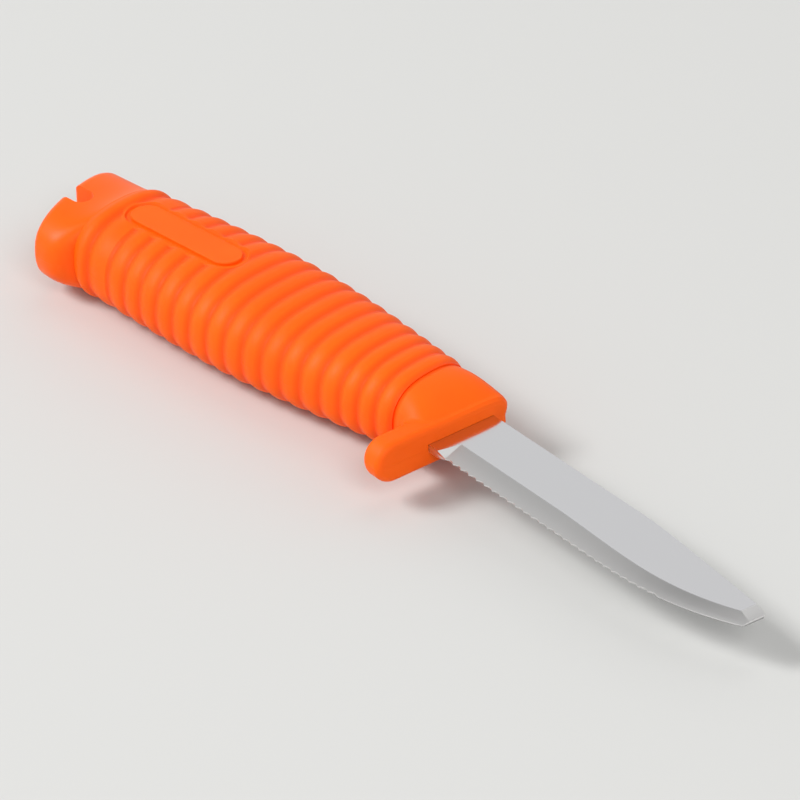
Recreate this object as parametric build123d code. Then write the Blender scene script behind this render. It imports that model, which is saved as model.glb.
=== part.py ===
"""Floating rigging knife: a blunt-tipped, scalloped blade in a hollow, ribbed, buoyant handle.

Millimetres.  The knife lies on its side: X runs along the blade to the tip, Y runs from the cutting
edge to the spine, and Z is square to the blade's flat.  The origin is the middle of the blade where
it leaves the handle.  The handle droops from the blade's line, so it has a frame of its own, turned
about Z: a station is a distance along that axis, negative behind the origin.
"""

import math
import os

from build123d import *

# Blade
blade_length = 99.8  # handle face to tip
blade_width = 19.1
blade_thickness = 2.0
grind_height = 5.8  # from the edge up to the grind line
tip_grind_height = 3.9  # the same, at the tip
edge_thickness = 0.3
heel_length = 4.7  # unground length, measured at the grind line
plunge_rise = 1.5  # the plunge's upper line slants back this far towards the edge
plunge_foot = 1.2  # and its lower line forward this far
spine_straight = 52.0  # the spine runs straight this far
spine_point = (70.0, 8.4)  # it passes here on its way down to the tip
tip_spine_height = 5.4  # of the spine at the tip, above the middle
tip_spine_slope = 0.115
edge_straight = 42.0  # the edge runs straight this far
edge_belly = (83.0, -7.2)  # it passes here on its way up to the tip
tip_edge_height = -1.1  # of the edge at the tip
tip_edge_slope = 0.52
tip_slant = 0.3  # the squared tip leans back towards the edge
tip_corner = 0.9
tip_facet = 3.7
tip_facet_left = 0.5  # share of the thickness left at the end
scallop_pitch = 2.8
scallop_depth = 0.5
scallop_start = 6.0
scallop_end = 79.0

# Tang
seat_depth = 5.0  # full blade width sunk into the handle
tang_length = 82.0
tang_root_width = 11.0
tang_end_width = 9.0
tang_end_drop = 4.5  # the tang's end lies this far below the blade's middle
tang_hole = 4.0
tang_hole_stations = (-38.0, -62.0)

# Handle body
droop = 6.8  # degrees between the handle's axis and the blade
belly_station = -70.0
belly_reach = 72.0  # the belly has faded out this far from its station
belly_width = 36.8
belly_fullness = 1.7  # power that shapes the swelling; less is fuller
belly_sag = 0.4  # the belly hangs this much further on the cutting side
neck_width = 23.7
tail_width = 28.7
belly_thickness = 23.9
neck_thickness = 20.6
axis_rise = 5.0  # the axis lies this far towards the spine at its crown
axis_crown = -93.0
axis_fall = 2.15  # lost over one reach either side of the crown
axis_reach = 82.0
oval_power = 2.5
shell_wall = 2.0

# Rings
ring_height = 0.55
ring_flank = 0.41  # share of the height already lost a quarter of the way down the ring
ring_pitch = 5.97
ring_count = 13
front_ring_pitch = 5.3
front_ring_count = 3
collar_pitch = 7.6
collar_proud = 0.25  # the last two rings, by the butt cap, stand this much higher
tail_ring_pitch = 5.2
rings_front = -13.1  # station of the last valley, at the neck
neck_step = 0.35  # the neck starts this much below that valley

# Front face and finger guard
face_thickness = 10.6
face_top = 14.2  # spine side of the front face
guard_tip = -24.3  # end of the finger guard
guard_depth = 6.8
guard_root = 1.0  # where the guard begins, hidden in the throat
guard_inset = 0.05
guard_round = 2.6
guard_fillet = 2.0
face_edge_radius = 1.7
face_power = 5.0
throat_depth = 5.0
throat_thickness = 15.0
throat_power = 3.2
throat_swell = 0.1

# Pads on the two broad sides
pad_width = 8.0
pad_front = -78.0
pad_back = -113.0
pad_height = 0.8
pad_edge = 0.3
pad_root = 1.0  # the pad starts this far under the ground round it
moat_width = 1.1
moat_depth = 1.1
moat_draft = 30.0

# Butt cap
knob_length = 14.6
knob_width = 34.6
knob_thickness = 20.4
knob_height = 3.1  # its centre above the handle's own axis line
knob_slant = 12.0  # degrees; the end leans so that the spine side is the longer
knob_shoulder = 5.7  # the knob has its full section this far behind the seam
knob_rounding = 2.8
spigot_length = 9.0
slot_width = 5.6
slot_depth = 8.5
slot_rounding = 1.5
slot_height = 1.3  # centre of the slot above the handle's own axis line

# Inside the handle
cavity_front = -15.0
sleeve_wall = 2.4
tang_clearance = 0.05
float_clearance = 0.2
spigot_clearance = 0.1

# Fineness of the shapes
oval_points = 16
body_steps = 6
bevel_steps = 6
face_edge_steps = 3
newton_steps = 8
touching = 0.01  # edges this near a plane lie in it
overcut = 0.4  # cutters run past the edge by this share of the bevel

# Derived stations
edge_end = blade_length - tip_slant
rings_back = rings_front - front_ring_count * front_ring_pitch - ring_count * ring_pitch
collar_back = rings_back - collar_pitch
cap_seam = collar_back - tail_ring_pitch
butt_end = cap_seam - knob_length
spigot_front = cap_seam + spigot_length
along = Vector(1, 0, 0).rotate(Axis.Z, droop)
handle = Plane((0, 0, 0), x_dir=along, z_dir=(0, 0, 1))
valley = ring_height
bore = valley + shell_wall


def swelling(station):
    """How far the belly has swelled at a station: 1 at its middle, 0 where it has faded out."""
    fade = min(1.0, abs(station - belly_station) / belly_reach)
    return math.cos(fade * math.pi / 2) ** belly_fullness


def half_width(station):
    end = neck_width if station > belly_station else tail_width
    return (end + (belly_width - end) * swelling(station)) / 2


def half_thickness(station):
    fade = max(0.0, station - belly_station) / (rings_front - belly_station)
    return (belly_thickness - (belly_thickness - neck_thickness) * fade) / 2


def axis_height(station):
    bow = axis_fall * ((station - axis_crown) / axis_reach) ** 2
    return axis_rise - bow - belly_sag * swelling(station)


def oval(wide, thick, power=oval_power):
    """A rounded oval about the middle of a plane, given by its half sizes."""
    ring = []
    for i in range(oval_points):
        c = math.cos(2 * math.pi * i / oval_points)
        s = math.sin(2 * math.pi * i / oval_points)
        x = math.copysign(abs(c) ** (2 / power), c) * wide
        y = math.copysign(abs(s) ** (2 / power), s) * thick
        ring.append((x, y))
    return Face(Wire([Edge.make_spline(ring, periodic=True)]))


def station_plane(station, height):
    """The plane square to the handle's axis at a station, centred at a height."""
    origin = handle.from_local_coords((station, height, 0))
    return Plane(origin, x_dir=handle.y_dir, z_dir=handle.x_dir)


def section(station, inset=0.0):
    """The handle's section at a station, drawn inset from the crests of the rings."""
    across = station_plane(station, axis_height(station))
    return across * oval(half_width(station) - inset, half_thickness(station) - inset)


def smooth_body(back, front, inset):
    """A plain length of the handle's form, without rings."""
    span = (front - back) / body_steps
    return loft([section(back + i * span, inset) for i in range(body_steps + 1)])


def ring_edges():
    """Stations of the valleys, from the neck back to the seam of the butt cap."""
    pitches = [front_ring_pitch] * front_ring_count + [ring_pitch] * ring_count
    pitches += [collar_pitch, tail_ring_pitch]
    stations = [rings_front]
    for pitch in pitches:
        stations.append(stations[-1] - pitch)
    return stations


def ringed_body():
    """The row of raised rings; each swells from one soft valley to a crest and back."""
    stations = ring_edges()
    rings = []
    for front, back in zip(stations, stations[1:]):
        proud = collar_proud if front <= rings_back else 0
        falls = [1, ring_flank, 0, ring_flank, 1]
        span = (front - back) / (len(falls) - 1)
        insets = [valley * fall - proud * (1 - fall) for fall in falls]
        rings.append(loft([section(back + i * span, inset) for i, inset in enumerate(insets)]))
    return rings[0].fuse(*rings[1:])


def front_plane(middle, depth=0.0):
    """A plane parallel to the front face, this deep behind it, centred at a height in Y."""
    return Plane((-depth, middle, 0), x_dir=(0, 1, 0), z_dir=(1, 0, 0))


def neck():
    """The smooth throat that narrows from the last valley to the flat front face."""
    low = handle.from_local_coords((rings_front, axis_height(rings_front), 0)).Y
    low -= half_width(rings_front) - valley
    wide = (face_top - low) / 2
    middle = (face_top + low) / 2

    def slice_at(depth, grow, thick, power):
        return front_plane(middle, depth) * oval(wide + grow, thick, power)

    throat = slice_at(throat_depth, throat_swell, throat_thickness / 2, throat_power)
    rounding = []
    for i in range(face_edge_steps + 1):
        turn = math.pi / 2 * i / face_edge_steps
        depth = face_edge_radius * (1 - math.sin(turn))
        inset = face_edge_radius * (1 - math.cos(turn))
        rounding.append(slice_at(depth, -inset, face_thickness / 2 - inset, face_power))
    root = section(rings_front, valley + neck_step)
    body = loft([root, throat, rounding[0]])
    return body + loft(rounding, ruled=True)


def guard():
    """The finger guard: a thick tongue with a rounded end, rooted in the throat."""
    long = guard_root - guard_tip
    face = Rectangle(long, face_thickness - 2 * guard_inset)
    face = fillet(face.vertices().group_by(Axis.X)[0], face_thickness / 2 - 2 * guard_inset)
    tongue = extrude(front_plane(guard_tip + long / 2) * face, -guard_depth)
    tongue = fillet(outer_rim(tongue.faces().sort_by(Axis.X)[-1]), face_edge_radius)
    return fillet(outer_rim(tongue.faces().sort_by(Axis.X)[0]), guard_round)


def front_end():
    """The throat and the guard in one, with a soft root behind the guard."""
    body = neck() + guard()
    back = -guard_depth
    behind_guard = body.edges().filter_by_position(Axis.X, back - touching, back + touching)
    return fillet(behind_guard.sort_by(Axis.Y)[-1], guard_fillet)


def outer_rim(face):
    """The edges of a face of the guard, without the one hidden in the throat."""
    return face.edges().sort_by(Axis.Y)[:-1]


def pad_outline(grow):
    """The long rounded pad, seen square to the blade's flat, grown by a margin."""
    length = pad_front - pad_back
    middle = (pad_front + pad_back) / 2
    centre = handle.from_local_coords((middle, axis_height(middle), 0))
    at = Plane(centre, x_dir=handle.x_dir, z_dir=(0, 0, 1))
    return at * SlotOverall(length + 2 * grow, pad_width + 2 * grow)


def pad_moat():
    """The sunk ground round a pad on the +Z side."""
    floor = belly_thickness / 2 - moat_depth
    ground = Pos(0, 0, floor) * pad_outline(moat_width)
    return extrude(ground, 2 * moat_depth, taper=-moat_draft)


def pad():
    """The raised pad itself on the +Z side, standing on the moat's floor."""
    floor = belly_thickness / 2 - moat_depth
    block = extrude(Pos(0, 0, floor - pad_root) * pad_outline(0), pad_root + pad_height)
    return fillet(block.faces().sort_by(Axis.Z)[-1].edges(), pad_edge)


def tang_outline(grow):
    """The seat and the tang behind it, grown by a margin on the sides and the end."""
    spine = blade_width / 2 + grow
    root = tang_root_width / 2 + grow
    end = tang_end_width / 2 + grow
    seat = -seat_depth - grow
    tail = -tang_length - grow
    upper = [(0, spine), (seat, spine), (seat, root), (tail, end - tang_end_drop)]
    lower = [(tail, -end - tang_end_drop), (seat, -root), (seat, -spine), (0, -spine)]
    return make_face(Polyline(*upper, *lower, close=True))


def spine_curve():
    start = (spine_straight, blade_width / 2)
    end = (blade_length, tip_spine_height)
    return Spline(start, spine_point, end, tangents=[(1, 0), (1, -tip_spine_slope)])


def edge_curve():
    start = (edge_straight, -blade_width / 2)
    end = (edge_end, tip_edge_height)
    return Spline(start, edge_belly, end, tangents=[(1, 0), (1, tip_edge_slope)])


def blade_outline():
    """The blade's side view, from the handle face to the squared tip."""
    spine = blade_width / 2
    top = spine_curve()
    bottom = edge_curve()
    lines = [
        Line((0, -spine), (0, spine)),
        Line((0, spine), top @ 0),
        top,
        Line(top @ 1, bottom @ 1),
        bottom,
        Line(bottom @ 0, (0, -spine)),
    ]
    outline = make_face(Wire(lines))
    corner = outline.vertices().sort_by(Axis.X)[-1]
    return fillet(corner, tip_corner)


def edge_point(x):
    """A point on the cutting edge, which runs on straight past the tip, and its direction there."""
    if x < edge_straight:
        return Vector(x, -blade_width / 2, 0), Vector(1, 0, 0)
    curve = edge_curve()
    if x >= edge_end:
        return curve @ 1 + (curve % 1) * (x - edge_end), curve % 1
    t = (x - edge_straight) / (edge_end - edge_straight)
    for _ in range(newton_steps):
        t -= ((curve @ t).X - x) / (curve.length * (curve % t).X)
    return curve @ t, curve % t


def bevel_section(x, lean=0.0):
    """What the grinding wheel takes from the +Z side at a point along the edge, cut a little
    below the edge too; its foot leans forward by this much at the edge."""
    point, direction = edge_point(x)
    inward = Vector(-direction.Y, direction.X, 0)
    curved = max(0.0, min(1.0, (x - edge_straight) / (edge_end - edge_straight)))
    height = grind_height + (tip_grind_height - grind_height) * curved
    grind = point + inward * height + Vector(0, 0, blade_thickness / 2)
    foot = point + Vector(lean, 0, edge_thickness / 2)
    below = foot + (foot - grind) * overcut
    clear = Vector(0, 0, blade_thickness)
    return [grind, below, below + clear, grind + clear]


def bevel():
    """The ground bevel on the +Z side: straight as far as the belly, then round past the tip."""
    span = (edge_end - edge_straight) / bevel_steps
    straight = [bevel_section(heel_length, plunge_foot), bevel_section(edge_straight)]
    curved = [bevel_section(edge_straight + span * i) for i in range(bevel_steps + 1)]
    past_tip = [bevel_section(edge_end), bevel_section(edge_end + tip_facet)]
    return [
        Solid.make_loft([Wire.make_polygon(corners) for corners in sections], ruled=ruled)
        for sections, ruled in ((straight, True), (curved, False), (past_tip, True))
    ]


def plunge():
    """The sloping face from the unground heel down to the bevel, as a cutter on the +Z side."""
    grind, below = bevel_section(heel_length, plunge_foot)[:2]
    upper = Vector(grind.X - plunge_rise, -blade_width / 2, grind.Z)
    upper += (upper - grind) * overcut
    facet = Face(Wire.make_polygon([grind, below, upper]))
    return Solid.extrude(facet, Vector(0, 0, blade_thickness))


def scallops():
    """Round cutters along the edge, one for each scallop."""
    radius = scallop_pitch**2 / (8 * scallop_depth) + scallop_depth / 2
    count = round((scallop_end - scallop_start) / scallop_pitch)
    cutters = []
    for i in range(count):
        point, direction = edge_point(scallop_start + (i + 0.5) * scallop_pitch)
        outward = Vector(direction.Y, -direction.X, 0)
        centre = point + outward * (radius - scallop_depth)
        cutters.append(Pos(*centre) * Cylinder(radius, 2 * blade_thickness))
    return cutters


def tip_facets():
    """The flats ground across the squared tip, one on each face."""
    tip = Vector(blade_length, tip_spine_height, 0)
    tail = Vector(blade_length - tip_slant, tip_edge_height, 0)
    run = (tip - tail).normalized()
    inward = run.rotate(Axis.Z, 90) * tip_facet
    rise = Vector(0, 0, blade_thickness / 2)
    corners = [inward + rise, rise * tip_facet_left, rise * 2 - inward, rise * 2 + inward]
    start = tip + run * blade_width
    profile = Wire.make_polygon([start + corner for corner in corners], close=True)
    facet = extrude(Face(profile), 2 * blade_width + (tip - tail).length, dir=-run)
    return [facet, mirror(facet, Plane.XY)]


def tang_rods(radius):
    """Rods through the anchoring holes of the tang."""
    rods = []
    for station in tang_hole_stations:
        height = tang_end_drop * station / tang_length
        rods.append(Pos(station, height, 0) * Cylinder(radius, 2 * blade_thickness))
    return rods


def make_blade():
    """The blade with its ground bevels, scalloped edge and squared tip, and the tang behind it."""
    blade = extrude(blade_outline(), blade_thickness / 2, both=True)
    cuts = tip_facets() + scallops()
    for cut in bevel() + [plunge()]:
        cuts += [cut, mirror(cut, Plane.XY)]
    for cut in cuts:
        blade -= cut
    tang = extrude(tang_outline(0), blade_thickness / 2, both=True)
    for rod in tang_rods(tang_hole / 2):
        tang -= rod
    return blade + tang


def tang_slot():
    """The room for the tang in the pieces moulded round it."""
    half = blade_thickness / 2 + tang_clearance
    return extrude(tang_outline(tang_clearance), half, both=True)


def behind(station):
    """Everything behind a station of the handle."""
    reach = 2 * abs(butt_end)
    room = Box(reach, reach, reach, align=(Align.MAX, Align.CENTER, Align.CENTER))
    return handle.location * Pos(station, 0, 0) * room


def sleeve_hull(grow):
    """The sleeve's outside, grown by a margin."""
    outline = tang_outline(sleeve_wall + grow)
    hull = extrude(outline, blade_thickness / 2 + sleeve_wall + grow, both=True)
    return hull & behind(cavity_front)


def make_tang_sleeve():
    """The stiff sleeve moulded on the tang; plugs through the tang's holes lock it."""
    hull = sleeve_hull(0)
    sleeve = hull - tang_slot()
    for rod in tang_rods(tang_hole / 2 - tang_clearance):
        sleeve += rod
    return sleeve


def make_grip():
    """The ribbed shell with its throat, finger guard and pads, bored out for the float."""
    grip = ringed_body() + front_end()
    for side in (pad_moat(), mirror(pad_moat(), Plane.XY)):
        grip -= side
    for side in (pad(), mirror(pad(), Plane.XY)):
        grip += side
    grip -= smooth_body(cap_seam, cavity_front, bore)
    return grip - tang_slot()


def knob_section(reach):
    """The knob's full section this far behind the seam, leaning more the further back it is."""
    lean = handle.y_dir.rotate(Axis.Z, knob_slant * reach / knob_length)
    origin = handle.from_local_coords((cap_seam - reach, knob_height, 0))
    across = Plane(origin, x_dir=lean, z_dir=lean.cross(Vector(0, 0, 1)))
    return across * oval(knob_width / 2, knob_thickness / 2)


def lanyard_cutter():
    """The slot across the knob's end, with a rounded mouth; it opens past the end."""
    length = slot_depth + slot_width
    slot = Pos(butt_end + slot_depth - length / 2, slot_height) * SlotOverall(length, slot_width)
    end = Pos(butt_end, knob_height) * Rot(0, 0, knob_slant)
    outside = end * Rectangle(knob_length, 2 * knob_width, align=(Align.MAX, Align.CENTER))
    outline = slot + outside
    lips = outline.vertices().sort_by_distance((butt_end, slot_height, 0))[:2]
    cutter = extrude(fillet(lips, slot_rounding), belly_thickness, both=True)
    return handle.location * cutter


def make_butt_cap():
    """The knob that closes the shell, with its spigot and the lanyard slot across its end."""
    reaches = [knob_shoulder, 2 * knob_shoulder, knob_length]
    knob = loft([section(cap_seam, valley)] + [knob_section(reach) for reach in reaches])
    knob = fillet(knob.faces().sort_by(Axis.X)[0].edges(), knob_rounding)
    knob -= lanyard_cutter()
    return knob + smooth_body(cap_seam, spigot_front, bore + spigot_clearance)


def make_float_core():
    """The closed-cell float that fills the shell round the sleeve."""
    back = spigot_front + float_clearance
    front = cavity_front - float_clearance
    core = smooth_body(back, front, bore + float_clearance)
    return core - sleeve_hull(float_clearance)


def main():
    pieces = {
        "blade": make_blade(),
        "grip": make_grip(),
        "butt_cap": make_butt_cap(),
        "tang_sleeve": make_tang_sleeve(),
        "float_core": make_float_core(),
    }
    os.makedirs("parts", exist_ok=True)
    for name, piece in pieces.items():
        export_step(piece, f"parts/{name}.step")


if __name__ == "__main__":
    main()
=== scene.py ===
"""Floating rigging knife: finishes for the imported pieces, and a plain studio round them.

The file is laid out as an add-on and is run as a script.  Everything is in metres and in the
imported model's own frame: the blade points along +X, its spine is on +Y, and the knife lies on its
side with +Z up.  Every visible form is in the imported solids, so each one is kept and given the
finish that its real material has.
"""

import math

import bpy
from mathutils import Matrix, Vector


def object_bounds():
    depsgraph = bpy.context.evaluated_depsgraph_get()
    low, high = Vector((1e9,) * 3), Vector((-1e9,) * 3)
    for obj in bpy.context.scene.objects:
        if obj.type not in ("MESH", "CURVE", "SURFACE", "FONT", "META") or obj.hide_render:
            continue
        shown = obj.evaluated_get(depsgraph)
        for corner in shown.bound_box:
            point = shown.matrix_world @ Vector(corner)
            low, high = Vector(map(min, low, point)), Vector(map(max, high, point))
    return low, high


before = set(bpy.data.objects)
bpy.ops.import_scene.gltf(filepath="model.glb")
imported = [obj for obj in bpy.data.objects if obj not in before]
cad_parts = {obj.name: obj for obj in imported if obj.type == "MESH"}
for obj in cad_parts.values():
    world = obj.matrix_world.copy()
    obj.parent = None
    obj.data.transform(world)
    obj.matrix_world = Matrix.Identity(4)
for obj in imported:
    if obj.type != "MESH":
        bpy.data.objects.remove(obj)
CAD_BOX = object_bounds()

bl_info = {
    "name": "Floating Rigging Knife",
    "version": (1, 0, 0),
    "blender": (4, 5, 0),
    "location": "3D View > Sidebar > Rigging Knife",
    "description": "Finishes and a studio for a floating rigging knife",
    "category": "Object",
}

MM = 0.001
LOWEST = CAD_BOX[0][2]

# The handle, in millimetres: where the rings meet along its axis, and the pad they leave free.
DROOP = math.radians(6.8)  # the handle's axis droops this far from the blade's line
FRONT_VALLEY, FRONT_PITCH = -13.1, 5.3
BODY_VALLEY, BODY_PITCH = -29.0, 5.97
COLLAR_VALLEY = -114.21
COLLAR_START = -107.5  # behind this, the collar's valley is the one that counts
NECK_START = -12.0  # no ring in front of this
VALLEY_REACH = 0.32  # share of a ring, from the valley, over which its hollow fades out
PAD_MIDDLE = (-95.5, 4.7)
PAD_HALF_RUN = 13.5  # half of the line round which the free field lies
PAD_REACH = 5.6  # how far from that line it stays quite free
PAD_FADE = 0.8  # and over how much more the hollows come up

# The moulded plastic's detail.
CLOUD_SIZE = 25 * MM
CLOUD_RANGE = (0.3, 0.7)  # the noise values between which one colour turns into the other
PIT_SIZE = 0.35 * MM
PIT_DEPTH = 0.05 * MM
PARTING_HALF_WIDTH = (0.22 * MM, 0.06 * MM)  # at the foot of the raised line, and at its top
UNEVEN_GLOSS = 0.06

# The blade: which faces count as ground, and the lines that the finishes leave.
BLADE_HALF = 1.0 * MM
UPRIGHT = (0.998, 0.994)  # a normal's upright share on the flats, and on the ground faces
SATIN_PITCH = 0.3 * MM
SATIN_DRAWN_OUT = (0.02, 1.0, 1.0)
WHEEL_PITCH = 0.4 * MM
WHEEL_DRAWN_OUT = (1.0, 0.03, 0.03)
LINE_DEPTH = 0.01 * MM
LINE_ROUGHNESS = 0.04
TIP_GRIND = (70 * MM, 95 * MM)  # where along the blade the bevels' hollow deepens
GRIND_SHARE = (0.7, 1.5)  # and how deep it is on either side of that

# The inside pieces and the paper.
FLOW_PITCH = 1.5 * MM
FLOW_DRAWN_OUT = (0.15, 1.0, 1.0)
CELL_SIZE = 0.8 * MM
CELL_WALL = 0.12
CELL_DEPTH = 0.1 * MM
TOOTH_SIZE = 2 * MM

# The light tent's walls end and its ceiling begins at these heights in a direction: the sines of
# 37 and 53 degrees.
WALL_TOP, CEILING_EDGE = 0.6, 0.8
# Each lamp's name in the settings, its side and its place.  All face one point of the knife.
LAMPS = (
    ("overhead", 0.9, (-0.2, 0.55, 1.5)),
    ("key", 1.0, (-1.24, -1.87, 2.24)),
    ("fill", 1.2, (2.2, -0.88, 2.15)),
)
LAMP_AIM = (-0.02, 0.0, 0.0)
SENSOR_WIDTH = 36.0
VIEW_RANGE = (0.05, 20.0)

# The colour sockets of a Mix node share their names with its other sockets, so they go by number.
MIX_FIRST, MIX_SECOND, MIX_RESULT = 6, 7, 2


# ---------------------------------------------------------------- settings


class KnifeStudioSettings(bpy.types.PropertyGroup):
    """The floor, the lamps and the camera."""

    floor_colour: bpy.props.StringProperty(
        name="Floor colour", description="sRGB hex colour of the floor", default="#CECECC"
    )
    floor_size: bpy.props.FloatProperty(
        name="Floor size",
        description="Side of the square floor",
        default=6.0,
        unit="LENGTH",
    )
    walls: bpy.props.FloatProperty(
        name="Walls", description="Strength of the pale walls of the light tent", default=0.8
    )
    ceiling: bpy.props.FloatProperty(
        name="Ceiling",
        description="Strength of the dimmer ceiling of the light tent",
        default=0.22,
    )
    overhead: bpy.props.FloatProperty(
        name="Overhead", description="Power of the lamp overhead, in watts", default=2.0
    )
    key: bpy.props.FloatProperty(
        name="Key", description="Power of the lamp beyond the butt cap, in watts", default=69.0
    )
    fill: bpy.props.FloatProperty(
        name="Fill", description="Power of the lamp beyond the tip, in watts", default=29.0
    )
    azimuth: bpy.props.FloatProperty(
        name="Azimuth",
        description="Turn of the camera about the vertical",
        default=math.radians(52.350),
        subtype="ANGLE",
    )
    elevation: bpy.props.FloatProperty(
        name="Elevation",
        description="Height of the camera above the horizon",
        default=math.radians(32.999),
        subtype="ANGLE",
    )
    roll: bpy.props.FloatProperty(
        name="Roll",
        description="Turn of the camera about its own axis",
        default=math.radians(-1.396),
        subtype="ANGLE",
    )
    distance: bpy.props.FloatProperty(
        name="Distance", description="Camera to the aim point", default=1.5, unit="LENGTH"
    )
    aim: bpy.props.FloatVectorProperty(
        name="Aim",
        description="The camera's aim, from the origin, right and up in its own view",
        default=(-14.04 * MM, 7.70 * MM),
        size=2,
        unit="LENGTH",
    )
    lens: bpy.props.FloatProperty(
        name="Lens", description="Focal length in millimetres on a 36 mm sensor", default=294.79
    )


class KnifeBladeSettings(bpy.types.PropertyGroup):
    """The ground and satin-polished steel."""

    steel: bpy.props.StringProperty(
        name="Steel", description="sRGB hex colour of the satin flats", default="#DCDCDE"
    )
    bevel_steel: bpy.props.StringProperty(
        name="Bevel steel", description="sRGB hex colour of the ground bevels", default="#DEDDDC"
    )
    flat_roughness: bpy.props.FloatProperty(
        name="Flat roughness",
        description="Roughness of the satin flats",
        default=0.1,
        subtype="FACTOR",
    )
    bevel_roughness: bpy.props.FloatProperty(
        name="Bevel roughness",
        description="Roughness of the ground bevels",
        default=0.28,
        subtype="FACTOR",
    )
    hollow_grind: bpy.props.FloatProperty(
        name="Hollow grind",
        description="How far the wheel dishes a bevel between its shoulder and its edge",
        default=0.15 * MM,
        unit="LENGTH",
    )


class KnifeHandleSettings(bpy.types.PropertyGroup):
    """The moulded handle and its butt cap."""

    orange: bpy.props.StringProperty(
        name="Orange", description="sRGB hex colour of the plastic", default="#FF6200"
    )
    deep_orange: bpy.props.StringProperty(
        name="Deep orange",
        description="sRGB hex colour where the pigment lies thicker",
        default="#FD5E00",
    )
    # Painted shade: the lines between the rings are coloured this deeper orange.
    hollow_shade_orange: bpy.props.StringProperty(
        name="Hollow shade orange",
        description="sRGB hex colour in the hollows between the rings",
        default="#F84E00",
    )
    hollow_depth: bpy.props.FloatProperty(
        name="Hollow depth",
        description="How much deeper the line between two rings looks than it is moulded",
        default=0.22 * MM,
        unit="LENGTH",
    )
    shine: bpy.props.FloatProperty(
        name="Shine",
        description="Specular level of the plastic; the pits of the matt skin dull it",
        default=0.2,
        subtype="FACTOR",
    )
    grip_roughness: bpy.props.FloatProperty(
        name="Grip roughness",
        description="Roughness of the spark-eroded surface",
        default=0.52,
        subtype="FACTOR",
    )
    cap_roughness: bpy.props.FloatProperty(
        name="Cap roughness",
        description="Roughness of the smoother butt cap",
        default=0.38,
        subtype="FACTOR",
    )


class KnifeInsideSettings(bpy.types.PropertyGroup):
    """The sleeve on the tang and the float."""

    sleeve: bpy.props.StringProperty(
        name="Sleeve", description="sRGB hex colour of the tang sleeve", default="#2B2C2E"
    )
    sleeve_streak: bpy.props.StringProperty(
        name="Sleeve streak",
        description="sRGB hex colour of the flow streaks on the sleeve",
        default="#38393B",
    )
    foam: bpy.props.StringProperty(
        name="Foam", description="sRGB hex colour of the closed-cell foam", default="#E9E6DC"
    )
    # Painted shade: the darker grey in the lines between the foam's cells.
    foam_hollow_shade: bpy.props.StringProperty(
        name="Foam hollow shade",
        description="sRGB hex colour between the cells of the foam",
        default="#D3D0C7",
    )


# ---------------------------------------------------------------- helpers


def linear(hex_colour):
    """An sRGB hex colour as the linear RGBA that a shader takes."""
    channels = [int(hex_colour[i : i + 2], 16) / 255 for i in (1, 3, 5)]
    curve = [c / 12.92 if c <= 0.04045 else ((c + 0.055) / 1.055) ** 2.4 for c in channels]
    return (*curve, 1.0)


def add_node(owner, kind, inputs=None, **settings):
    """Adds a node to a material or a world.  Its settings are given by name; its inputs by name
    or number, each with a value or with the output that feeds it."""
    tree = owner.node_tree
    node = tree.nodes.new(kind)
    for name, value in settings.items():
        setattr(node, name, value)
    for key, value in (inputs or {}).items():
        if isinstance(value, bpy.types.NodeSocket):
            tree.links.new(value, node.inputs[key])
        else:
            node.inputs[key].default_value = value
    return node


def new_material(name):
    """A node material without nodes."""
    material = bpy.data.materials.new(name)
    material.use_nodes = True
    material.node_tree.nodes.clear()
    return material


def finish_material(material, shader):
    """Links the shader to the surface output."""
    add_node(material, "ShaderNodeOutputMaterial", {"Surface": shader.outputs[0]})
    return material


def assign(node_name, material):
    """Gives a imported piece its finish."""
    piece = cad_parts[node_name]
    if not piece.data.materials:
        raise RuntimeError(f"{node_name} has no material slot")
    for i in range(len(piece.data.materials)):
        piece.data.materials[i] = material


# ---------------------------------------------------------------- materials


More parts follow.
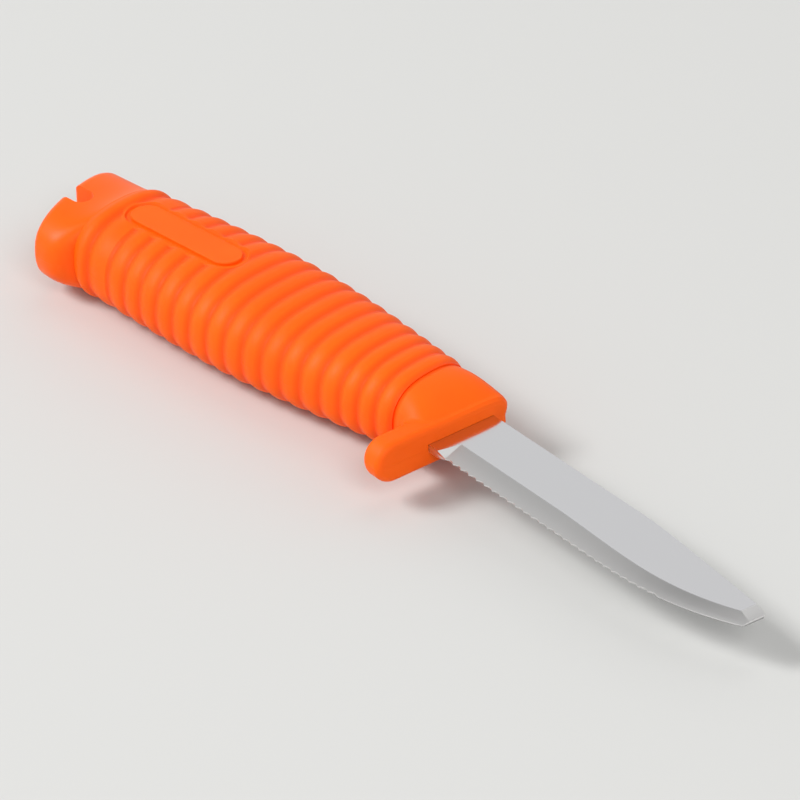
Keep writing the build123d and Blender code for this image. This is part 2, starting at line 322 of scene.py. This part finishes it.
def ring_hollows(material, place):
    """1 along the narrow lines where two rings meet, 0 on the rings, the neck and the pads. It
    drives both the crisp bump there and the painted shade in the lines.
    """
    turned = add_node(
        material,
        "ShaderNodeMapping",
        {"Vector": place, "Rotation": (0.0, 0.0, -DROOP), "Scale": (1 / MM, 1 / MM, 1 / MM)},
    )
    axes = add_node(material, "ShaderNodeSeparateXYZ", {"Vector": turned.outputs[0]})
    station = axes.outputs["X"]
    # How far the nearest valley is, counted in rings: among the body's, then among the neck's.
    off_rings = []
    for valley, pitch in ((BODY_VALLEY, BODY_PITCH), (FRONT_VALLEY, FRONT_PITCH)):
        rings = add_node(
            material,
            "ShaderNodeMath",
            {0: station, 1: 1 / pitch, 2: -valley / pitch},
            operation="MULTIPLY_ADD",
        )
        off_rings.append(
            add_node(
                material, "ShaderNodeMath", {0: rings.outputs[0], 1: 0.5}, operation="PINGPONG"
            )
        )
    off_body, off_front = off_rings
    at_front = add_node(
        material, "ShaderNodeMath", {0: station, 1: BODY_VALLEY}, operation="GREATER_THAN"
    )
    off_ring = add_node(
        material,
        "ShaderNodeMix",
        {"Factor": at_front.outputs[0], "A": off_body.outputs[0], "B": off_front.outputs[0]},
    )
    # The collar's valley stands alone behind the last ring.
    behind = add_node(
        material, "ShaderNodeMath", {0: station, 1: -COLLAR_VALLEY}, operation="ADD"
    )
    apart = add_node(material, "ShaderNodeMath", {0: behind.outputs[0]}, operation="ABSOLUTE")
    off_collar = add_node(
        material,
        "ShaderNodeMath",
        {0: apart.outputs[0], 1: 1 / BODY_PITCH},
        operation="MULTIPLY",
    )
    at_collar = add_node(
        material, "ShaderNodeMath", {0: station, 1: COLLAR_START}, operation="LESS_THAN"
    )
    off_valley = add_node(
        material,
        "ShaderNodeMix",
        {
            "Factor": at_collar.outputs[0],
            "A": off_ring.outputs["Result"],
            "B": off_collar.outputs[0],
        },
    )
    valley = add_node(
        material,
        "ShaderNodeMapRange",
        {"Value": off_valley.outputs["Result"], "From Min": VALLEY_REACH, "From Max": 0.0},
        interpolation_type="SMOOTHSTEP",
    )
    # The pads and the ground round them have no rings: a long round-ended field about the pad.
    centred = add_node(
        material,
        "ShaderNodeVectorMath",
        {0: turned.outputs[0], 1: (*PAD_MIDDLE, 0.0)},
        operation="SUBTRACT",
    )
    sides = add_node(
        material, "ShaderNodeVectorMath", {0: centred.outputs[0]}, operation="ABSOLUTE"
    )
    beyond = add_node(
        material,
        "ShaderNodeVectorMath",
        {0: sides.outputs[0], 1: (PAD_HALF_RUN, 0.0, 0.0)},
        operation="SUBTRACT",
    )
    outside = add_node(
        material,
        "ShaderNodeVectorMath",
        {0: beyond.outputs[0], 1: (0.0, 0.0, 0.0)},
        operation="MAXIMUM",
    )
    flat = add_node(
        material,
        "ShaderNodeVectorMath",
        {0: outside.outputs[0], 1: (1.0, 1.0, 0.0)},
        operation="MULTIPLY",
    )
    off_pad = add_node(
        material, "ShaderNodeVectorMath", {0: flat.outputs[0]}, operation="LENGTH"
    )
    clear = add_node(
        material,
        "ShaderNodeMapRange",
        {
            "Value": off_pad.outputs["Value"],
            "From Min": PAD_REACH,
            "From Max": PAD_REACH + PAD_FADE,
        },
        interpolation_type="SMOOTHSTEP",
    )
    behind_neck = add_node(
        material, "ShaderNodeMath", {0: station, 1: NECK_START}, operation="LESS_THAN"
    )
    free = add_node(
        material,
        "ShaderNodeMath",
        {0: clear.outputs[0], 1: behind_neck.outputs[0]},
        operation="MULTIPLY",
    )
    hollow = add_node(
        material,
        "ShaderNodeMath",
        {0: valley.outputs[0], 1: free.outputs[0]},
        operation="MULTIPLY",
    )
    return hollow.outputs[0]


def moulded_polypropylene(name, settings, roughness, grain_depth, ringed):
    """Fluorescent orange polypropylene from a spark-eroded mould: matt and strongly coloured. On
    the ringed grip the lines between the rings are coloured a deeper orange as painted shade."""
    material = new_material(name)
    place = add_node(material, "ShaderNodeTexCoord").outputs["Object"]
    # Pigment never mixes quite evenly: it lies in soft clouds.
    cloud = add_node(
        material,
        "ShaderNodeTexNoise",
        {"Vector": place, "Scale": 1 / CLOUD_SIZE, "Detail": 2.0, "Roughness": 0.5},
    )
    uneven = add_node(
        material,
        "ShaderNodeMapRange",
        {
            "Value": cloud.outputs["Fac"],
            "From Min": CLOUD_RANGE[0],
            "From Max": CLOUD_RANGE[1],
        },
        interpolation_type="SMOOTHSTEP",
    )
    colour = add_node(
        material,
        "ShaderNodeMix",
        {
            "Factor": uneven.outputs[0],
            MIX_FIRST: linear(settings.orange),
            MIX_SECOND: linear(settings.deep_orange),
        },
        data_type="RGBA",
    )
    # Spark erosion leaves pits of about 0.06 mm; they are drawn coarser, so that they show.
    grain = add_node(
        material,
        "ShaderNodeTexNoise",
        {"Vector": place, "Scale": 1 / PIT_SIZE, "Detail": 2.0, "Roughness": 0.6},
    )
    # The mould's two halves meet in the middle plane and leave a fine raised line along the
    # spine and the belly.
    axes = add_node(material, "ShaderNodeSeparateXYZ", {"Vector": place})
    off_middle = add_node(
        material, "ShaderNodeMath", {0: axes.outputs["Z"]}, operation="ABSOLUTE"
    )
    seam = add_node(
        material,
        "ShaderNodeMapRange",
        {
            "Value": off_middle.outputs[0],
            "From Min": PARTING_HALF_WIDTH[0],
            "From Max": PARTING_HALF_WIDTH[1],
        },
        interpolation_type="SMOOTHSTEP",
    )
    relief = add_node(
        material,
        "ShaderNodeMath",
        {0: grain.outputs["Fac"], 1: grain_depth, 2: seam.outputs[0]},
        operation="MULTIPLY_ADD",
    )
    bump = add_node(
        material,
        "ShaderNodeBump",
        {"Height": relief.outputs[0], "Strength": 0.5, "Distance": PIT_DEPTH},
    )
    skin = colour.outputs[MIX_RESULT]
    relief_normal = bump.outputs[0]
    if ringed:
        # Two rings meet in a crisp line, which the bump makes crisper. The deeper orange in it is
        # painted shade.
        hollow = ring_hollows(material, place)
        painted_hollow_shade = add_node(
            material,
            "ShaderNodeMix",
            {"Factor": hollow, MIX_FIRST: skin, MIX_SECOND: linear(settings.hollow_shade_orange)},
            data_type="RGBA",
        )
        crisp = add_node(
            material,
            "ShaderNodeBump",
            {
                "Height": hollow,
                "Strength": 1.0,
                "Distance": settings.hollow_depth,
                "Normal": relief_normal,
            },
            invert=True,
        )
        skin = painted_hollow_shade.outputs[MIX_RESULT]
        relief_normal = crisp.outputs[0]
    # Handling polishes the matt skin unevenly.
    gloss = add_node(
        material,
        "ShaderNodeMapRange",
        {
            "Value": cloud.outputs["Fac"],
            "To Min": roughness - UNEVEN_GLOSS,
            "To Max": roughness + UNEVEN_GLOSS,
        },
    )
    shader = add_node(
        material,
        "ShaderNodeBsdfPrincipled",
        {
            "Base Color": skin,
            "Roughness": gloss.outputs[0],
            "IOR": 1.49,
            "Specular IOR Level": settings.shine,
            "Normal": relief_normal,
            "Subsurface Weight": 0.1,
            "Subsurface Radius": (1.0, 0.35, 0.12),
            "Subsurface Scale": 1.0 * MM,
        },
    )
    return finish_material(material, shader)


def satin_stainless(settings):
    """Stainless strip steel: flats that satin polishing leaves softly mirrored, and bevels that
    the grinding wheel leaves duller and a shade warmer."""
    material = new_material("satin_stainless_steel")
    place = add_node(material, "ShaderNodeTexCoord").outputs["Object"]
    # The flats face straight up and down; all that leans away from that was ground.
    geometry = add_node(material, "ShaderNodeNewGeometry")
    facing = add_node(
        material, "ShaderNodeSeparateXYZ", {"Vector": geometry.outputs["True Normal"]}
    )
    upright = add_node(
        material, "ShaderNodeMath", {0: facing.outputs["Z"]}, operation="ABSOLUTE"
    )
    bevelled = add_node(
        material,
        "ShaderNodeMapRange",
        {"Value": upright.outputs[0], "From Min": UPRIGHT[0], "From Max": UPRIGHT[1]},
        interpolation_type="SMOOTHSTEP",
    )
    # Satin polishing leaves fine lines along the flats, 0.1 mm apart and centimetres long; they
    # are drawn wider apart, so that they show.
    along = add_node(
        material, "ShaderNodeMapping", {"Vector": place, "Scale": SATIN_DRAWN_OUT}
    )
    satin = add_node(
        material,
        "ShaderNodeTexNoise",
        {"Vector": along.outputs[0], "Scale": 1 / SATIN_PITCH, "Detail": 3.0, "Roughness": 0.6},
    )
    # The wheel that grinds the bevels leaves coarser lines, across the edge.
    across = add_node(
        material, "ShaderNodeMapping", {"Vector": place, "Scale": WHEEL_DRAWN_OUT}
    )
    ground = add_node(
        material,
        "ShaderNodeTexNoise",
        {"Vector": across.outputs[0], "Scale": 1 / WHEEL_PITCH, "Detail": 3.0, "Roughness": 0.6},
    )
    lines = add_node(
        material,
        "ShaderNodeMix",
        {
            "Factor": bevelled.outputs[0],
            "A": satin.outputs["Fac"],
            "B": ground.outputs["Fac"],
        },
    )
    fine_bump = add_node(
        material,
        "ShaderNodeBump",
        {"Height": lines.outputs["Result"], "Strength": 0.1, "Distance": LINE_DEPTH},
    )
    # The round wheel hollows a bevel a little between its shoulder and its edge.  Height above
    # the blade's middle plane tells how far across the bevel a point lies.
    axes = add_node(material, "ShaderNodeSeparateXYZ", {"Vector": place})
    off_middle = add_node(
        material, "ShaderNodeMath", {0: axes.outputs["Z"]}, operation="ABSOLUTE"
    )
    across_bevel = add_node(
        material,
        "ShaderNodeMath",
        {0: off_middle.outputs[0], 1: math.pi / BLADE_HALF},
        operation="MULTIPLY",
    )
    dish = add_node(
        material, "ShaderNodeMath", {0: across_bevel.outputs[0]}, operation="SINE"
    )
    # Towards the tip the blade swings on the wheel and is dished deeper.
    deeper = add_node(
        material,
        "ShaderNodeMapRange",
        {
            "Value": axes.outputs["X"],
            "From Min": TIP_GRIND[0],
            "From Max": TIP_GRIND[1],
            "To Min": GRIND_SHARE[0],
            "To Max": GRIND_SHARE[1],
        },
        interpolation_type="SMOOTHSTEP",
    )
    tip_dish = add_node(
        material,
        "ShaderNodeMath",
        {0: dish.outputs[0], 1: deeper.outputs[0]},
        operation="MULTIPLY",
    )
    dished = add_node(
        material,
        "ShaderNodeMath",
        {0: tip_dish.outputs[0], 1: bevelled.outputs[0]},
        operation="MULTIPLY",
    )
    bump = add_node(
        material,
        "ShaderNodeBump",
        {
            "Height": dished.outputs[0],
            "Strength": 1.0,
            "Distance": settings.hollow_grind,
            "Normal": fine_bump.outputs[0],
        },
        invert=True,
    )
    colour = add_node(
        material,
        "ShaderNodeMix",
        {
            "Factor": bevelled.outputs[0],
            MIX_FIRST: linear(settings.steel),
            MIX_SECOND: linear(settings.bevel_steel),
        },
        data_type="RGBA",
    )
    finish = add_node(
        material,
        "ShaderNodeMapRange",
        {
            "Value": bevelled.outputs[0],
            "To Min": settings.flat_roughness,
            "To Max": settings.bevel_roughness,
        },
    )
    # The finish is a touch rougher on the crests of the lines.
    rough = add_node(
        material,
        "ShaderNodeMath",
        {0: lines.outputs["Result"], 1: LINE_ROUGHNESS, 2: finish.outputs[0]},
        operation="MULTIPLY_ADD",
    )
    shader = add_node(
        material,
        "ShaderNodeBsdfPrincipled",
        {
            "Base Color": colour.outputs[MIX_RESULT],
            "Metallic": 1.0,
            "Roughness": rough.outputs[0],
            "Normal": bump.outputs[0],
        },
    )
    return finish_material(material, shader)


def glass_filled_polypropylene(settings):
    """Black glass-filled polypropylene: dull, with a faint flow streak along the part."""
    material = new_material("glass_filled_polypropylene")
    place = add_node(material, "ShaderNodeTexCoord").outputs["Object"]
    along = add_node(
        material, "ShaderNodeMapping", {"Vector": place, "Scale": FLOW_DRAWN_OUT}
    )
    streak = add_node(
        material,
        "ShaderNodeTexNoise",
        {"Vector": along.outputs[0], "Scale": 1 / FLOW_PITCH, "Detail": 3.0, "Roughness": 0.55},
    )
    colour = add_node(
        material,
        "ShaderNodeMix",
        {
            "Factor": streak.outputs["Fac"],
            MIX_FIRST: linear(settings.sleeve),
            MIX_SECOND: linear(settings.sleeve_streak),
        },
        data_type="RGBA",
    )
    bump = add_node(
        material,
        "ShaderNodeBump",
        {"Height": streak.outputs["Fac"], "Strength": 0.2, "Distance": 0.03 * MM},
    )
    shader = add_node(
        material,
        "ShaderNodeBsdfPrincipled",
        {
            "Base Color": colour.outputs[MIX_RESULT],
            "Roughness": 0.5,
            "IOR": 1.53,
            "Normal": bump.outputs[0],
        },
    )
    return finish_material(material, shader)


def closed_cell_foam(settings):
    """Closed-cell polyethylene foam: pale and dead matt, with cells just under 1 mm across."""
    material = new_material("closed_cell_foam")
    place = add_node(material, "ShaderNodeTexCoord").outputs["Object"]
    cells = add_node(
        material,
        "ShaderNodeTexVoronoi",
        {"Vector": place, "Scale": 1 / CELL_SIZE, "Randomness": 1.0},
        feature="DISTANCE_TO_EDGE",
    )
    walls = add_node(
        material,
        "ShaderNodeMapRange",
        {"Value": cells.outputs["Distance"], "From Min": 0.0, "From Max": CELL_WALL},
        interpolation_type="SMOOTHSTEP",
    )
    # Painted shade: the lines between the cells, where the bump sinks, are coloured a darker grey.
    colour = add_node(
        material,
        "ShaderNodeMix",
        {
            "Factor": walls.outputs[0],
            MIX_FIRST: linear(settings.foam_hollow_shade),
            MIX_SECOND: linear(settings.foam),
        },
        data_type="RGBA",
    )
    bump = add_node(
        material,
        "ShaderNodeBump",
        {"Height": walls.outputs[0], "Strength": 0.5, "Distance": CELL_DEPTH},
    )
    shader = add_node(
        material,
        "ShaderNodeBsdfPrincipled",
        {
            "Base Color": colour.outputs[MIX_RESULT],
            "Roughness": 0.9,
            "IOR": 1.5,
            "Normal": bump.outputs[0],
        },
    )
    return finish_material(material, shader)


def studio_paper(settings):
    """Seamless pale paper: dead matt, with the faint tooth of the sheet."""
    material = new_material("studio_paper")
    place = add_node(material, "ShaderNodeTexCoord").outputs["Object"]
    tooth = add_node(
        material,
        "ShaderNodeTexNoise",
        {"Vector": place, "Scale": 1 / TOOTH_SIZE, "Detail": 2.0, "Roughness": 0.5},
    )
    bump = add_node(
        material,
        "ShaderNodeBump",
        {"Height": tooth.outputs["Fac"], "Strength": 0.05, "Distance": 0.05 * MM},
    )
    shader = add_node(
        material,
        "ShaderNodeBsdfPrincipled",
        {
            "Base Color": linear(settings.floor_colour),
            "Roughness": 1.0,
            "Specular IOR Level": 0.0,
            "Normal": bump.outputs[0],
        },
    )
    return finish_material(material, shader)


# ---------------------------------------------------------------- operators


class KNIFE_OT_blade(bpy.types.Operator):
    """Finish the blade as ground and satin-polished stainless steel"""

    bl_idname = "knife.blade"
    bl_label = "Blade"

    def execute(self, context):
        assign("blade", satin_stainless(context.scene.knife_blade))
        return {"FINISHED"}


class KNIFE_OT_grip(bpy.types.Operator):
    """Finish the ribbed handle as matt moulded plastic"""

    bl_idname = "knife.grip"
    bl_label = "Grip"

    def execute(self, context):
        settings = context.scene.knife_handle
        roughness = settings.grip_roughness
        material = moulded_polypropylene(
            "moulded_orange_matt", settings, roughness, grain_depth=0.8, ringed=True
        )
        assign("grip", material)
        return {"FINISHED"}


class KNIFE_OT_butt_cap(bpy.types.Operator):
    """Finish the butt cap as the same plastic from a smoother mould"""

    bl_idname = "knife.butt_cap"
    bl_label = "Butt cap"

    def execute(self, context):
        settings = context.scene.knife_handle
        roughness = settings.cap_roughness
        material = moulded_polypropylene(
            "moulded_orange_silk", settings, roughness, grain_depth=0.3, ringed=False
        )
        assign("butt_cap", material)
        return {"FINISHED"}


class KNIFE_OT_inside(bpy.types.Operator):
    """Finish the tang sleeve and the float core inside the handle"""

    bl_idname = "knife.inside"
    bl_label = "Sleeve and float"

    def execute(self, context):
        settings = context.scene.knife_inside
        assign("tang_sleeve", glass_filled_polypropylene(settings))
        assign("float_core", closed_cell_foam(settings))
        return {"FINISHED"}


def add_lamp(name, power, side, place):
    """A square soft lamp of this side at a place, turned to the knife."""
    data = bpy.data.lights.new(name, "AREA")
    data.energy = power
    data.size = side
    lamp = bpy.data.objects.new(name, data)
    bpy.context.scene.collection.objects.link(lamp)
    lamp.location = place
    lamp.rotation_mode = "QUATERNION"
    lamp.rotation_quaternion = (Vector(LAMP_AIM) - Vector(place)).to_track_quat("-Z", "Y")


class KNIFE_OT_stage(bpy.types.Operator):
    """Make the pale floor, the soft lamps and the camera"""

    bl_idname = "knife.stage"
    bl_label = "Studio"

    def execute(self, context):
        settings = context.scene.knife_studio
        self.make_floor(settings)
        self.make_light(context, settings)
        self.make_camera(context, settings)
        return {"FINISHED"}

    def make_floor(self, settings):
        bpy.ops.object.select_all(action="DESELECT")
        bpy.ops.mesh.primitive_plane_add(size=settings.floor_size, location=(0, 0, LOWEST))
        floor = bpy.context.object
        floor.name = "floor"
        bpy.ops.object.transform_apply(location=True, rotation=True, scale=True)
        floor.data.materials.append(studio_paper(settings))

    def make_light(self, context, settings):
        world = bpy.data.worlds.new("light_tent")
        world.use_nodes = True
        world.node_tree.nodes.clear()
        # The tent's pale walls shade off to its dimmer ceiling.
        direction = add_node(world, "ShaderNodeTexCoord").outputs["Generated"]
        height = add_node(world, "ShaderNodeSeparateXYZ", {"Vector": direction}).outputs["Z"]
        strength = add_node(
            world,
            "ShaderNodeMapRange",
            {
                "Value": height,
                "From Min": WALL_TOP,
                "From Max": CEILING_EDGE,
                "To Min": settings.walls,
                "To Max": settings.ceiling,
            },
            interpolation_type="SMOOTHSTEP",
        )
        light = add_node(
            world,
            "ShaderNodeBackground",
            {"Color": (1.0, 1.0, 1.0, 1.0), "Strength": strength.outputs[0]},
        )
        add_node(world, "ShaderNodeOutputWorld", {"Surface": light.outputs[0]})
        context.scene.world = world
        for name, side, place in LAMPS:
            add_lamp(f"{name}_lamp", getattr(settings, name), side, place)

    def make_camera(self, context, settings):
        azimuth, elevation, roll = settings.azimuth, settings.elevation, settings.roll
        right = Vector((math.cos(azimuth), math.sin(azimuth), 0.0))
        forward = Vector(
            (
                -math.sin(azimuth) * math.cos(elevation),
                math.cos(azimuth) * math.cos(elevation),
                -math.sin(elevation),
            )
        )
        up = right.cross(forward)
        tilted_right = right * math.cos(roll) + up * math.sin(roll)
        tilted_up = up * math.cos(roll) - right * math.sin(roll)
        aim_right, aim_up = settings.aim
        place = tilted_right * aim_right + tilted_up * aim_up - forward * settings.distance
        data = bpy.data.cameras.new("camera")
        data.lens = settings.lens
        data.sensor_width = SENSOR_WIDTH
        data.clip_start, data.clip_end = VIEW_RANGE
        camera = bpy.data.objects.new("camera", data)
        context.scene.collection.objects.link(camera)
        turn = Matrix((tilted_right, tilted_up, -forward)).transposed()
        camera.matrix_world = Matrix.Translation(place) @ turn.to_4x4()
        context.scene.camera = camera


class KNIFE_PT_panel(bpy.types.Panel):
    """The knife's finishes and its studio"""

    bl_label = "Rigging Knife"
    bl_idname = "KNIFE_PT_panel"
    bl_space_type = "VIEW_3D"
    bl_region_type = "UI"
    bl_category = "Rigging Knife"

    def draw(self, context):
        layout = self.layout
        for group, names in SETTINGS_SHOWN.items():
            box = layout.box()
            for name in names:
                box.prop(getattr(context.scene, group), name)
        for operator in OPERATORS:
            layout.operator(operator.bl_idname)


OPERATORS = (KNIFE_OT_blade, KNIFE_OT_grip, KNIFE_OT_butt_cap, KNIFE_OT_inside, KNIFE_OT_stage)
SETTINGS = {
    "knife_blade": KnifeBladeSettings,
    "knife_handle": KnifeHandleSettings,
    "knife_inside": KnifeInsideSettings,
    "knife_studio": KnifeStudioSettings,
}
SETTINGS_SHOWN = {group: tuple(kind.__annotations__) for group, kind in SETTINGS.items()}


def register():
    for group, kind in SETTINGS.items():
        bpy.utils.register_class(kind)
        setattr(bpy.types.Scene, group, bpy.props.PointerProperty(type=kind))
    for kind in (*OPERATORS, KNIFE_PT_panel):
        bpy.utils.register_class(kind)


def unregister():
    for kind in (KNIFE_PT_panel, *reversed(OPERATORS)):
        bpy.utils.unregister_class(kind)
    for group, kind in reversed(SETTINGS.items()):
        delattr(bpy.types.Scene, group)
        bpy.utils.unregister_class(kind)


def main():
    register()
    bpy.context.scene.view_settings.view_transform = "Standard"
    bpy.ops.knife.blade()
    bpy.ops.knife.grip()
    bpy.ops.knife.butt_cap()
    bpy.ops.knife.inside()
    bpy.ops.knife.stage()


if __name__ == "__main__":
    main()
